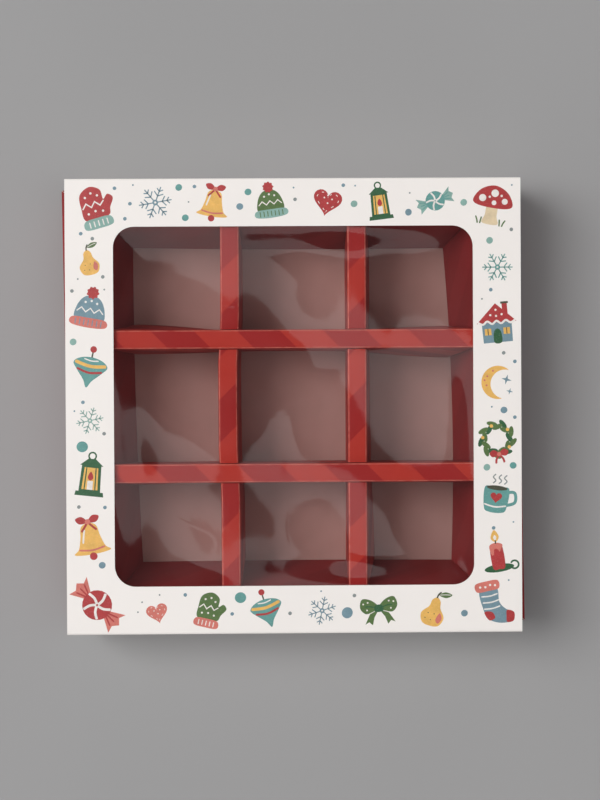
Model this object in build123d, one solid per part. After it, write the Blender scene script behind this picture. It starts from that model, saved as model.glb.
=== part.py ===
from build123d import *
import math
import os

# A windowed sweet box of printed board: an open-ended sleeve with a clear window, and inside it
# a roll-over tray whose floor is divided into nine cells by four interlocking strips.
# Millimetres. X is the way the tray slides, Z is up, and the origin is the middle of the
# sleeve's underside.

# Board and film
board = 0.45
strip_board = 0.40
fold_radius = 0.30
film_thickness = 0.15
glue_thickness = 0.10

# Sleeve: one blank of four panels and a glue flap
sleeve_length = 152.0
sleeve_width = 152.0
sleeve_height = 35.0
seam_flap_height = 16.0
seam_flap_taper = 5.0
seam_glue_margin = 3.0

# Window in the sleeve's top panel
frame_width = 16.0
window_corner_radius = 7.0
film_lap = 7.0
film_glue_inset = 1.5

# Tray: one blank whose walls roll over into a rim and lean in to the floor
tray_play = 1.10
running_gap = 0.30
tray_yaw = 0.9
end_rim_width = 14.4
side_rim_width = 11.2
wall_lean = 7.5
foot_length = 6.0
foot_gap = 0.08
mitre_gap = 0.30
corner_flap_length = 12.0
corner_flap_taper = 3.0
corner_flap_clearance = 0.8
corner_glue_margin = 2.0

# Partition strips: inverted channels of folded board, slotted into each other
strip_width = 6.4
row_pitch = 44.8
column_pitch = 42.5
slot_clearance = 0.15
strip_nest_gap = 0.05
strip_end_gap = 0.70

# Every cut runs past the faces that it cuts by this much
overrun = 2.0

# Heights that the pieces share
panel_underside = sleeve_height - board
film_top = panel_underside - glue_thickness
film_underside = film_top - film_thickness
tray_underside = board
floor_top = tray_underside + board
rim_top = film_underside - tray_play

# The tray is as long as the sleeve, and as wide as its skewed corners leave room for
tray_length = sleeve_length
seam_stack = board + glue_thickness
half_room = sleeve_width / 2 - board - seam_stack - running_gap
yaw_angle = math.radians(tray_yaw)
tray_width = (2 * half_room - tray_length * math.sin(yaw_angle)) / math.cos(yaw_angle)


def folded_sheet(points, thickness):
    """Section of a folded sheet: its outer side follows the points, its thickness lies to their left."""
    corners = [Vector(*point) for point in points]
    runs = [(end - start).normalized() for start, end in zip(corners, corners[1:])]
    lefts = [Vector(-run.Y, run.X) for run in runs]
    inner = [corners[0] + lefts[0] * thickness]
    outer_radii = []
    inner_radii = []
    for index in range(1, len(runs)):
        before = lefts[index - 1]
        after = lefts[index]
        inner.append(corners[index] + (before + after) * (thickness / (1 + before.dot(after))))
        turns_left = runs[index - 1].cross(runs[index]).Z > 0
        outer_radii.append(fold_radius + thickness if turns_left else fold_radius)
        inner_radii.append(fold_radius if turns_left else fold_radius + thickness)
    inner.append(corners[-1] + lefts[-1] * thickness)
    outline = Curve() + [
        FilletPolyline(*corners, radius=outer_radii),
        FilletPolyline(*inner, radius=inner_radii),
        Line(corners[0], inner[0]),
        Line(corners[-1], inner[-1]),
    ]
    return make_face(outline)


def block(low, high):
    """Box between two corners."""
    size = [top - bottom for bottom, top in zip(low, high)]
    middle = [(top + bottom) / 2 for bottom, top in zip(low, high)]
    return Pos(*middle) * Box(*size)


def prism_across_x(points, start, end):
    """Prism between two places along X of an outline drawn in Y and Z."""
    outline = Plane.YZ.offset(start) * make_face(Polyline(*points, close=True))
    return extrude(outline, amount=end - start)


def prism_across_y(points, start, end):
    """Prism between two places along Y of an outline drawn in X and Z."""
    corners = [(x, start, z) for x, z in points]
    return extrude(make_face(Polyline(*corners, close=True)), amount=end - start, dir=(0, 1, 0))


# Sleeve

window_length = sleeve_length - 2 * frame_width
window_width = sleeve_width - 2 * frame_width
flap_face = sleeve_width / 2 - seam_stack


def make_sleeve():
    """Tube of board, open at both ends, with the glue flap inside its back panel."""
    half_width = sleeve_width / 2
    section = folded_sheet(
        [
            (half_width, 0),
            (half_width, sleeve_height),
            (-half_width, sleeve_height),
            (-half_width, 0),
            (flap_face, 0),
            (flap_face, seam_flap_height),
        ],
        board,
    )
    tube = extrude(Plane.YZ * section, amount=sleeve_length / 2, both=True)
    window = RectangleRounded(window_length, window_width, window_corner_radius)
    tube -= extrude(Plane.XY.offset(panel_underside - overrun) * window, amount=board + 2 * overrun)
    fold_top = board + fold_radius
    half_length = sleeve_length / 2
    taper = [
        (half_length, fold_top),
        (half_length + overrun, fold_top),
        (half_length + overrun, seam_flap_height + overrun),
        (half_length - seam_flap_taper, seam_flap_height + overrun),
        (half_length - seam_flap_taper, seam_flap_height),
    ]
    for side in (1, -1):
        mirrored = [(side * x, z) for x, z in taper]
        tube -= prism_across_y(mirrored, flap_face - board - overrun, flap_face)
    return tube


def make_sleeve_seam_glue():
    """Glue between the flap and the back panel."""
    half_length = sleeve_length / 2 - seam_flap_taper - seam_glue_margin
    low = (-half_length, flap_face, board + seam_glue_margin)
    high = (half_length, flap_face + glue_thickness, seam_flap_height - seam_glue_margin)
    return block(low, high)


# Window

def make_window_film():
    """Clear sheet under the top panel, lapping the window on every side."""
    sheet = RectangleRounded(
        window_length + 2 * film_lap,
        window_width + 2 * film_lap,
        window_corner_radius,
    )
    return extrude(Plane.XY.offset(film_underside) * sheet, amount=film_thickness)


def make_film_glue():
    """Ring of glue that holds the film to the top panel."""
    outer_reach = 2 * (film_lap - film_glue_inset)
    inner_reach = 2 * film_glue_inset
    outer = RectangleRounded(
        window_length + outer_reach, window_width + outer_reach, window_corner_radius
    )
    inner = RectangleRounded(
        window_length + inner_reach, window_width + inner_reach, window_corner_radius
    )
    return extrude(Plane.XY.offset(film_top) * (outer - inner), amount=glue_thickness)


# Tray

def wall_section(half_out, rim):
    """Section of one wall: floor edge, outer wall, rim, leaning inner wall and foot."""
    fold_reach = 2 * (fold_radius + board)
    foot_fold = half_out - rim - wall_lean
    foot_height = floor_top + foot_gap
    return folded_sheet(
        [
            (half_out - fold_reach, tray_underside),
            (half_out, tray_underside),
            (half_out, rim_top),
            (half_out - rim, rim_top),
            (foot_fold, foot_height),
            (foot_fold + foot_length, foot_height),
        ],
        board,
    )


def tray_wall(half_out, rim, half_run, next_rim, body_half):
    """Wall on the +Y side, its rolled-over panels mitred to meet the next walls at the corners."""
    body = extrude(Plane.YZ * wall_section(half_out, rim), amount=body_half, both=True)
    gap = mitre_gap / 2
    reach = wall_lean + overrun
    corner_line = [
        (half_run - gap, half_out),
        (half_run - next_rim - gap, half_out - rim),
        (half_run - next_rim - reach - gap, half_out - rim - reach),
    ]
    plan = corner_line + [(-x, y) for x, y in reversed(corner_line)]
    mitred = extrude(make_face(Polyline(*plan, close=True)), amount=sleeve_height)
    outer_wall = block((-half_run, half_out - board, 0), (half_run, half_out, sleeve_height))
    return body & (mitred + outer_wall)


def corner_flap(half_out, body_half, side):
    """Glue flap folded from an end wall against the inside of the next wall."""
    low = floor_top + corner_flap_clearance
    high = rim_top - board - corner_flap_clearance
    tip = half_out - corner_flap_length
    outline = [
        (half_out - board, low),
        (half_out - board, high),
        (tip, high - corner_flap_taper),
        (tip, low + corner_flap_taper),
    ]
    inner_face = side * (body_half - board)
    outer_face = side * body_half
    return prism_across_x(outline, min(inner_face, outer_face), max(inner_face, outer_face))


end_wall_half = tray_width / 2 - seam_stack


def make_tray():
    """Folded tray: floor, two side walls along X and two end walls with their corner flaps."""
    half_length = tray_length / 2
    half_width = tray_width / 2
    fold = fold_radius + board
    tray = block(
        (-half_length + fold, -half_width + fold, tray_underside),
        (half_length - fold, half_width - fold, floor_top),
    )
    side_wall = tray_wall(half_width, side_rim_width, half_length, end_rim_width, half_length)
    end_wall = tray_wall(half_length, end_rim_width, half_width, side_rim_width, end_wall_half)
    for side in (1, -1):
        end_wall += corner_flap(half_length, end_wall_half, side)
    for turn in (0, 180):
        tray += Rot(0, 0, turn) * side_wall
        tray += Rot(0, 0, turn - 90) * end_wall
    return Rot(0, 0, tray_yaw) * tray


def make_tray_corner_glue():
    """Four glue pads between the corner flaps and the side walls."""
    margin = corner_flap_clearance + corner_flap_taper + corner_glue_margin
    near = tray_length / 2 - board - corner_glue_margin
    far = tray_length / 2 - corner_flap_length + corner_glue_margin
    pads = []
    for x_side in (1, -1):
        for y_side in (1, -1):
            low = (
                min(x_side * near, x_side * far),
                min(y_side * end_wall_half, y_side * (end_wall_half + glue_thickness)),
                floor_top + margin,
            )
            high = (
                max(x_side * near, x_side * far),
                max(y_side * end_wall_half, y_side * (end_wall_half + glue_thickness)),
                rim_top - board - margin,
            )
            pads.append(Rot(0, 0, tray_yaw) * block(low, high))
    return Compound(children=pads)


# Partition

leg_offset = (strip_width - strip_board) / 2
slot_width = strip_board + 2 * slot_clearance
slot_height = (floor_top + rim_top) / 2


def strip_channel(wall_out, rim, top):
    """Inverted channel along X, its ends cut to the slope of the leaning walls."""
    half_width = strip_width / 2
    section = folded_sheet(
        [(half_width, floor_top), (half_width, top), (-half_width, top), (-half_width, floor_top)],
        strip_board,
    )
    wall_top = wall_out - rim - strip_end_gap
    wall_foot = wall_top - wall_lean
    channel = extrude(Plane.YZ * section, amount=wall_out, both=True)
    slope = wall_lean / (rim_top - floor_top)
    ends = [
        (-wall_foot, floor_top),
        (wall_foot, floor_top),
        (wall_foot + slope * (top - floor_top), top),
        (-wall_foot - slope * (top - floor_top), top),
    ]
    return channel & prism_across_y(ends, -strip_width, strip_width)


def slots(pitch, low, high):
    """Pairs of slots, one for each leg of the two strips that cross."""
    cuts = []
    for crossing in (-pitch / 2, pitch / 2):
        for leg in (-leg_offset, leg_offset):
            middle = crossing + leg
            cuts.append(
                block(
                    (middle - slot_width / 2, -strip_width, low),
                    (middle + slot_width / 2, strip_width, high),
                )
            )
    return cuts


def make_row_divider(side):
    """Strip along X, slotted from below, so that its top runs unbroken."""
    strip = strip_channel(tray_length / 2, end_rim_width, rim_top)
    for slot in slots(column_pitch, floor_top - overrun, slot_height + slot_clearance):
        strip -= slot
    return Pos(0, side * row_pitch / 2, 0) * strip


def make_column_divider(side):
    """Strip along Y, slotted from above, its top tucked under the row strips."""
    top = rim_top - strip_board - strip_nest_gap
    strip = strip_channel(tray_width / 2, side_rim_width, top)
    for slot in slots(row_pitch, slot_height - slot_clearance, rim_top + overrun):
        strip -= slot
    return Pos(side * column_pitch / 2, 0, 0) * Rot(0, 0, 90) * strip


pieces = {
    "sleeve": make_sleeve(),
    "sleeve_seam_glue": make_sleeve_seam_glue(),
    "window_film": make_window_film(),
    "film_glue": make_film_glue(),
    "tray": make_tray(),
    "tray_corner_glue": make_tray_corner_glue(),
    "row_divider_back": make_row_divider(1),
    "row_divider_front": make_row_divider(-1),
    "column_divider_left": make_column_divider(-1),
    "column_divider_right": make_column_divider(1),
}

os.makedirs("parts", exist_ok=True)
for name, piece in pieces.items():
    export_step(piece, f"parts/{name}.step")
    print(name, round(piece.volume, 1), piece.bounding_box())
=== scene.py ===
import copy
import math
import random

import bmesh
import bpy
import numpy as np
from mathutils import Matrix, Vector, noise


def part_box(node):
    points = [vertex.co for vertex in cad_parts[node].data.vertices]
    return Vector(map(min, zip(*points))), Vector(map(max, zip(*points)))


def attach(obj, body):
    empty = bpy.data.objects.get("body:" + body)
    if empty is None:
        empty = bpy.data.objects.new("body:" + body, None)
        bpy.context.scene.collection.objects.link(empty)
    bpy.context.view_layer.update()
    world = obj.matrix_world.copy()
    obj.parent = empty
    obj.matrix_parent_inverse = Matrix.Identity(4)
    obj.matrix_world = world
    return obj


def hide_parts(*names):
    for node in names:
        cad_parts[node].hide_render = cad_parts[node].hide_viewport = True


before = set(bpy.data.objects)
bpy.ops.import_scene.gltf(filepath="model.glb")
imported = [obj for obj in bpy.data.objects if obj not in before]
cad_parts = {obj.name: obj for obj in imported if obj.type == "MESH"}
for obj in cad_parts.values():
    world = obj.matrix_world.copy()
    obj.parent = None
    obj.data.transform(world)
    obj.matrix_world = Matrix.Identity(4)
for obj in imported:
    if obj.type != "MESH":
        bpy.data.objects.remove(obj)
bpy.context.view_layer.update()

# A windowed sweet box of printed board: sleeve, clear film, roll-over tray and four partition
# strips. Sizes are metres, written as millimetres times mm. X is the way the tray slides, Z is up.
mm = 0.001

# Board and film
board = 0.45 * mm
strip_board = 0.40 * mm
fold_radius = 0.30 * mm
sheet_gap = 0.08 * mm

# Tray
tray_yaw = math.radians(0.9)
end_rim_width = 14.4 * mm
side_rim_width = 11.2 * mm
wall_lean = 7.5 * mm
foot_length = 6.0 * mm
mitre_gap = 0.15 * mm
floor_inset = 2.0 * mm
corner_flap_length = 12.0 * mm
corner_flap_taper = 3.0 * mm
corner_flap_clearance = 0.8 * mm
flap_stack = board + 0.10 * mm

# Where the feet of the leaning walls meet on the floor: along X and Y from the middle
floor_corners = {
    (-1, 1): (-54.6 * mm, 56.0 * mm),
    (1, 1): (53.7 * mm, 53.8 * mm),
    (1, -1): (54.5 * mm, -55.5 * mm),
    (-1, -1): (-53.5 * mm, -53.8 * mm),
}

# Partition strips
strip_width = 6.4 * mm
slot_width = 0.70 * mm
slot_clearance = 0.15 * mm
strip_end_gap = 0.70 * mm
crossing_dip = 0.9 * mm
crossing_dip_reach = 2.6 * mm
bow_run = 14.0 * mm
stripe_pitch = 28.8 * mm
row_stripe_start = -30.6 * mm
column_stripe_start = -23.9 * mm

# Window
window_half = 60.0 * mm
film_corner_radius = 7.0 * mm

# Ink on the board
ink_layer = 0.006 * mm
ink_wobble = 0.07 * mm
ink_wobble_length = 1.8 * mm
stroke_end_share = 0.7

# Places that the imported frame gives
sleeve_low, sleeve_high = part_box("sleeve")
tray_low, tray_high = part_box("tray")
film_low, film_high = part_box("window_film")
row_low, row_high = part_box("row_divider_back")
column_low, column_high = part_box("column_divider_right")
panel_top = sleeve_high.z
tray_underside = tray_low.z
rim_top = tray_high.z
floor_top = row_low.z
row_centre = (row_low.y + row_high.y) / 2
column_centre = (column_low.x + column_high.x) / 2
slot_height = (floor_top + rim_top) / 2


def add_object(name, data):
    """Object of the scene with this data."""
    added = bpy.data.objects.new(name, data)
    bpy.context.scene.collection.objects.link(added)
    return added


def unyawed(half, other_half):
    """Half length of the tray along one side, from the half sizes of the box round the skewed tray."""
    return (half * math.cos(tray_yaw) - other_half * math.sin(tray_yaw)) / math.cos(2 * tray_yaw)


tray_half_length = unyawed(tray_high.x, tray_high.y)
tray_half_width = unyawed(tray_high.y, tray_high.x)


# Materials

class Graph:
    """Nodes of one material or world, with short calls that add and link them."""

    def __init__(self, name, is_world=False):
        self.is_world = is_world
        self.owner = (bpy.data.worlds if is_world else bpy.data.materials).new(name)
        self.owner.use_nodes = True
        self.tree = self.owner.node_tree
        self.tree.nodes.clear()
        self.coordinates = self.add("TexCoord").outputs

    def add(self, kind, inputs=None, **settings):
        node = self.tree.nodes.new("ShaderNode" + kind)
        for name, value in settings.items():
            setattr(node, name, value)
        for name, value in (inputs or {}).items():
            if isinstance(value, bpy.types.NodeSocket):
                self.tree.links.new(value, node.inputs[name])
            else:
                node.inputs[name].default_value = value
        return node

    def math(self, operation, *values):
        return self.add("Math", dict(enumerate(values)), operation=operation).outputs[0]

    def mix(self, share, first, second):
        return self.add("Mix", {0: share, 6: first, 7: second}, data_type="RGBA").outputs[2]

    def noise(self, feature, detail=2.0, roughness=0.5):
        """Noise from 0 to 1 whose features are about this long."""
        inputs = {"Vector": self.coordinates["Object"], "Scale": 1 / feature, "Detail": detail}
        return self.add("TexNoise", {**inputs, "Roughness": roughness}).outputs[0]

    def stretch(self, value, low, high, to_low=0.0, to_high=1.0):
        inputs = {0: value, 1: low, 2: high, 3: to_low, 4: to_high}
        return self.add("MapRange", inputs).outputs[0]

    def cloud(self, feature, detail=3.0, roughness=0.5, low=0.3, high=0.7, least=0.0, most=1.0):
        """Noise stretched so that its values from low to high go from least to most."""
        return self.stretch(self.noise(feature, detail, roughness), low, high, least, most)

    def parts(self, vector):
        return self.add("SeparateXYZ", {0: vector}).outputs

    def bump(self, height, depth, normal=None):
        inputs = {"Height": height, "Distance": depth, "Strength": 1.0}
        if normal:
            inputs["Normal"] = normal
        return self.add("Bump", inputs).outputs[0]

    def finish(self, shader):
        self.add("OutputWorld" if self.is_world else "OutputMaterial", {"Surface": shader})
        return self.owner

    def solid(self, colour, roughness, normal, more=None):
        """The finished material, with this surface."""
        inputs = {"Base Color": colour, "Roughness": roughness, "Normal": normal, **(more or {})}
        return self.finish(self.add("BsdfPrincipled", inputs).outputs[0])

    def board(self, colour, roughness, grain_depth, more=None):
        """The finished material of a board with fibres and a faint unevenness."""
        fibres = self.bump(self.noise(0.35 * mm, detail=4.0, roughness=0.6), grain_depth)
        broad = self.bump(self.noise(9 * mm, detail=1.0), 6 * grain_depth, normal=fibres)
        return self.solid(colour, roughness, broad, more)


def srgb(code):
    """Linear colour of a hex code."""
    values = [int(code[place:place + 2], 16) / 255 for place in (0, 2, 4)]
    return (*[v / 12.92 if v <= 0.04045 else ((v + 0.055) / 1.055) ** 2.4 for v in values], 1.0)


black = srgb("000000")
paper_white = srgb("f7f1ec")
paper_back = srgb("dcd7d0")
paper_core = srgb("cfc9c1")
grey_back = srgb("b18880")
light_red = srgb("bc372b")
dark_red = srgb("a32321")
# The tray's reds are its striped print made darker than the strips' reds: partly real print, partly
# painted shade of the inner walls under the frame
tray_red_with_painted_shade = srgb("8a2526")
tray_light_red_with_painted_shade = srgb("92292a")
fold_red = srgb("dd8070")

coat_roughness = 0.42
raw_roughness = 0.85
coat_grain = 0.004 * mm
raw_grain = 0.010 * mm
ink_roughness = 0.45
stripe_roughness = 0.5
stripe_grain = 0.006 * mm
stripe_specular = 0.15
stripe_edge = 0.15 * mm
film_mirror = 0.035
film_roughness = 0.035
film_line_level = 0.47
film_line_width = 0.007

inks = {
    "red": "b5393a", "pink": "d9796c", "green": "587440", "dark_green": "2f5f3c", "teal": "66a09a",
    "pale_teal": "8db3a9", "blue_grey": "7896a2", "yellow": "f2bd63", "grey": "8f9694",
    "olive": "4a4a3a", "white": "f6efe9", "cream": "e9d3ae",
}


def make_sleeve_material():
    """White satin coat outside, plain board inside, and the paler core on cut edges."""
    graph = Graph("sleeve_board")
    x, y, z = graph.parts(graph.coordinates["Object"])
    normal = graph.parts(graph.coordinates["Normal"])
    inner_y = graph.math("COMPARE", y, 0.0, sleeve_high.y - board / 2)
    inner_z = graph.math("COMPARE", z, panel_top / 2, panel_top / 2 - board / 2)
    inside = graph.math("MULTIPLY", inner_y, inner_z)
    end_cut, window_side = [
        graph.math("GREATER_THAN", graph.math("ABSOLUTE", part), 0.5) for part in normal[:2]
    ]
    in_frame = graph.math("COMPARE", y, 0.0, window_half + 1 * mm)
    cut = graph.math("MAXIMUM", end_cut, graph.math("MULTIPLY", window_side, in_frame))
    coat = graph.mix(graph.cloud(14 * mm, detail=2.0, least=0.985), black, paper_white)
    fibre = graph.cloud(0.6 * mm, detail=5.0, roughness=0.7, low=0.35, high=0.75)
    raw = graph.mix(fibre, paper_back, paper_white)
    colour = graph.mix(inside, coat, raw)
    colour = graph.mix(cut, colour, paper_core)
    uncoated = graph.math("MAXIMUM", inside, cut)
    roughness = graph.stretch(uncoated, 0.0, 1.0, coat_roughness, raw_roughness)
    return graph.board(colour, roughness, coat_grain)


def make_ink(name, colour):
    """One printed colour, with the dry-brush mottle of a hand-drawn motif."""
    graph = Graph("ink_" + name)
    darker = tuple(0.82 * channel for channel in colour[:3]) + (1.0,)
    lighter = tuple(channel + 0.10 * (1 - channel) for channel in colour[:3]) + (1.0,)
    washed = graph.mix(graph.cloud(2.6 * mm, roughness=0.6), darker, colour)
    grain = graph.cloud(0.5 * mm, roughness=0.7, low=0.55, high=0.75)
    return graph.board(graph.mix(grain, washed, lighter), ink_roughness, coat_grain)


def make_striped_board(name, light, dark, stripe_start, fold_at=None):
    """Red print in slanting stripes that run over the folds, paler in patches along them."""
    graph = Graph(name)
    along, across = graph.parts(graph.add("UVMap", uv_map="blank").outputs[0])[:2]
    slant = graph.math("ADD", along, across)
    turns = graph.math("DIVIDE", graph.math("SUBTRACT", slant, stripe_start), stripe_pitch)
    share = graph.math("FRACT", turns)
    edge = stripe_edge / stripe_pitch
    up = graph.stretch(share, 0.0, edge)
    down = graph.stretch(share, 0.5, 0.5 + edge)
    stripe = graph.math("SUBTRACT", up, down)
    colour = graph.mix(stripe, dark, light)
    colour = graph.mix(graph.cloud(5 * mm, most=0.16), colour, dark)
    speck = graph.cloud(0.30 * mm, roughness=0.8, low=0.62, high=0.80, most=0.25)
    colour = graph.mix(speck, colour, fold_red)
    if fold_at:
        off_fold = graph.math("ABSOLUTE", graph.math("SUBTRACT", graph.math("ABSOLUTE", across), fold_at))
        near = graph.stretch(off_fold, 0.30 * mm, 0.10 * mm)
        patchy = graph.cloud(2.4 * mm, roughness=0.7, low=0.35, high=0.6, least=0.25, most=0.80)
        colour = graph.mix(graph.math("MULTIPLY", near, patchy), colour, fold_red)
    return graph.board(colour, stripe_roughness, stripe_grain, {"Specular IOR Level": stripe_specular})


def make_grey_board():
    """Unprinted grey-brown back of the board, flecked with recycled fibres."""
    graph = Graph("grey_board_back")
    colour = graph.mix(graph.cloud(6 * mm, most=0.35), grey_back, srgb("a37d74"))
    fleck = graph.cloud(0.45 * mm, detail=4.0, roughness=0.75, low=0.60, high=0.75, most=0.45)
    return graph.board(graph.mix(fleck, colour, srgb("c8a49e")), raw_roughness, raw_grain)


def make_cut_edge():
    """Core of the board where it is cut."""
    graph = Graph("board_core")
    fibre = graph.cloud(0.3 * mm, detail=4.0, roughness=0.7)
    return graph.board(graph.mix(fibre, paper_core, srgb("b8aea4")), 0.9, raw_grain)


def make_film_material():
    """Clear glossy film: see-through, mirroring more at a slant, with a trace of haze."""
    graph = Graph("clear_film")
    facing = graph.add("LayerWeight", {"Blend": 0.5}).outputs["Facing"]
    slant = graph.math("POWER", facing, 5.0)
    mirrored = graph.stretch(slant, 0.0, 1.0, film_mirror)
    ripple = graph.bump(graph.noise(9 * mm, detail=2.0), 0.012 * mm)
    off_level = graph.math("SUBTRACT", graph.noise(60 * mm, detail=1.0), film_line_level)
    line = graph.stretch(graph.math("ABSOLUTE", off_level), film_line_width, 0.0)
    ripple = graph.bump(line, 0.004 * mm, normal=ripple)
    shine = {"Color": (1.0, 1.0, 1.0, 1.0), "Roughness": film_roughness, "Normal": ripple}
    gloss = graph.add("BsdfGlossy", shine).outputs[0]
    clear = graph.add("BsdfTransparent", {"Color": (0.985, 0.985, 0.985, 1.0)}).outputs[0]
    haze = graph.add("BsdfDiffuse", {"Color": (0.9, 0.9, 0.92, 1.0)}).outputs[0]
    cloud = graph.cloud(16 * mm, least=0.001, most=0.006)
    veiled = graph.add("MixShader", {0: cloud, 1: clear, 2: haze}).outputs[0]
    return graph.finish(graph.add("MixShader", {0: mirrored, 1: veiled, 2: gloss}).outputs[0])


def make_glue_material():
    """Dried milky glue."""
    graph = Graph("dried_glue")
    streak = graph.noise(1.2 * mm, detail=3.0, roughness=0.6)
    colour = graph.mix(graph.stretch(streak, 0.3, 0.7), srgb("d9d2c2"), srgb("ece7dc"))
    return graph.solid(colour, 0.35, graph.bump(streak, 0.02 * mm), {"Transmission Weight": 0.3})


def make_floor_material():
    """Plain pale paper backdrop."""
    graph = Graph("pale_floor")
    colour = graph.mix(graph.cloud(300 * mm, detail=1.0), srgb("9e9d9d"), srgb("a2a1a1"))
    return graph.solid(colour, 0.9, graph.bump(graph.noise(0.8 * mm, detail=3.0), 0.01 * mm))


# Sheets of folded board

weld_reach = 0.002 * mm
hair = 0.01 * mm
sharp_angle = math.radians(32)


def rounded_path(corners, radius, longest_run, arc_steps=4):
    """Points along a bent line with each corner rounded, and how far along the line each one is."""
    corners = [Vector(corner) for corner in corners]
    points = [corners[0]]
    for before, corner, after in zip(corners, corners[1:], corners[2:]):
        into = (corner - before).normalized()
        out = (after - corner).normalized()
        turn = math.atan2(into.x * out.y - into.y * out.x, into.dot(out))
        reach = radius * math.tan(abs(turn) / 2)
        centre = corner + (out - into).normalized() * radius / math.cos(turn / 2)
        arm = corner - into * reach - centre
        for step in range(arc_steps + 1):
            points.append(centre + Matrix.Rotation(turn * step / arc_steps, 2) @ arm)
    points.append(corners[-1])
    fine = [points[0]]
    for start, end in zip(points, points[1:]):
        steps = max(1, math.ceil((end - start).length / longest_run))
        fine += [start.lerp(end, step / steps) for step in range(1, steps + 1)]
    distances = [0.0]
    for start, end in zip(fine, fine[1:]):
        distances.append(distances[-1] + (end - start).length)
    return fine, distances


class Sheet:
    """The printed side of a folded sheet, gathered in patches and then given its thickness."""

    def __init__(self):
        self.mesh = bmesh.new()
        self.blank = self.mesh.loops.layers.uv.new("blank")

    def patch(self, grid, is_open=None):
        """Grid of points, each with its place on the flat blank. Cells that is_open names stay out."""
        rows = [[self.mesh.verts.new(point) for point, blank in row] for row in grid]
        for i in range(len(rows) - 1):
            for j in range(len(rows[0]) - 1):
                if is_open and is_open(i, j):
                    continue
                ring = [(i, j), (i, j + 1), (i + 1, j + 1), (i + 1, j)]
                face = self.mesh.faces.new([rows[a][b] for a, b in ring])
                for loop, (a, b) in zip(face.loops, ring):
                    loop[self.blank].uv = grid[a][b][1]

    def piece(self, name, thickness, materials):
        """Object with the sheet's thickness on its unprinted side, smooth up to folds and cuts."""
        bmesh.ops.remove_doubles(self.mesh, verts=self.mesh.verts, dist=weld_reach)
        loose = [vert for vert in self.mesh.verts if not vert.link_faces]
        bmesh.ops.delete(self.mesh, geom=loose, context="VERTS")
        mesh = bpy.data.meshes.new(name)
        self.mesh.to_mesh(mesh)
        self.mesh.free()
        for material in materials:
            mesh.materials.append(material)
        piece = add_object(name, mesh)
        solidify = piece.modifiers.new("board", "SOLIDIFY")
        solidify.thickness = thickness
        solidify.offset = -1.0
        solidify.use_even_offset = True
        solidify.material_offset = 1
        solidify.material_offset_rim = 2
        bpy.context.view_layer.update()
        evaluated = piece.evaluated_get(bpy.context.evaluated_depsgraph_get())
        mesh = bpy.data.meshes.new_from_object(evaluated)
        piece.modifiers.clear()
        piece.data = mesh
        mesh.shade_smooth()
        mesh.set_sharp_from_angle(angle=sharp_angle)
        piece.modifiers.new("weighted_normals", "WEIGHTED_NORMAL").keep_sharp = True
        return piece


# Tray

wall_steps = 28
wall_shares = [2 * step / wall_steps - 1 for step in range(wall_steps + 1)]

# Walls are counted clockwise from the back one: how far the middle of each foot is bowed outwards
foot_bows = (-0.4 * mm, 1.8 * mm, -0.3 * mm, 0.8 * mm)

# Half size of the tray and width of the rim, for the back and front walls and for the end walls
tray_sides = ((tray_half_width, side_rim_width), (tray_half_length, end_rim_width))


def wall_directions(turns):
    """Outward and run directions of a wall, from the back wall by right-angle turns clockwise."""
    turn = Matrix.Rotation(-turns * math.pi / 2, 2)
    return turn @ Vector((0, 1)), turn @ Vector((1, 0))


def foot_line(turns):
    """The wall's foot: how far out and along it is at a share from -1 to 1 of its run."""
    outward, run = wall_directions(turns)
    ends = {}
    for corner, place in floor_corners.items():
        if Vector(corner).dot(outward) > 0.5:
            side = 1 if Vector(corner).dot(run) > 0 else -1
            ends[side] = Vector((Vector(place).dot(run), Vector(place).dot(outward)))

    def at(share):
        middle = (ends[1] + ends[-1]) / 2 + (ends[1] - ends[-1]) * share / 2
        return middle.x, middle.y + foot_bows[turns] * (1 - share ** 2)

    return at


def tray_wall(sheet, turns, outer_half_run):
    """One wall: floor edge, outer wall, rim, leaning inner wall and the foot tucked under it."""
    half_out, rim = tray_sides[turns % 2]
    half_run, next_rim = tray_sides[1 - turns % 2]
    outward, run = wall_directions(turns)
    foot_fold = half_out - rim - wall_lean
    foot_height = floor_top + sheet_gap
    corners = [
        (half_out - floor_inset, tray_underside), (half_out, tray_underside), (half_out, rim_top),
        (half_out - rim, rim_top), (foot_fold, foot_height), (foot_fold + foot_length, foot_height),
    ]
    path, distances = rounded_path(corners, fold_radius + board, longest_run=6 * mm)
    top_fold = max(index for index, point in enumerate(path) if point.y > rim_top - hair)
    foot_at = foot_line(turns)

    def half_run_at(index, point):
        inset = half_out - point.x
        if index < top_fold and point.y < rim_top - fold_radius - board:
            floor_share = min(1.0, inset / floor_inset)
            floor_run = half_run - floor_inset
            return outer_half_run + (floor_run - outer_half_run) * floor_share
        beyond = max(0.0, inset - rim)
        return half_run - mitre_gap - next_rim * min(1.0, inset / rim) - beyond

    grid = []
    for share in wall_shares:
        foot_run, foot_out = foot_at(share)
        row = []
        for index, point in enumerate(path):
            along = share * half_run_at(index, point)
            out = point.x
            if index > top_fold:
                depth = min(1.0, (rim_top - point.y) / (rim_top - foot_height))
                foot_half_run = half_run - mitre_gap - next_rim - wall_lean
                along += depth * (foot_run - share * foot_half_run)
                out += depth * (foot_out - foot_fold)
            place = run * along + outward * out
            blank = run * along + outward * (half_out - floor_inset + distances[index])
            row.append(((place.x, place.y, point.y), blank))
        grid.append(row)
    sheet.patch(grid)


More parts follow.
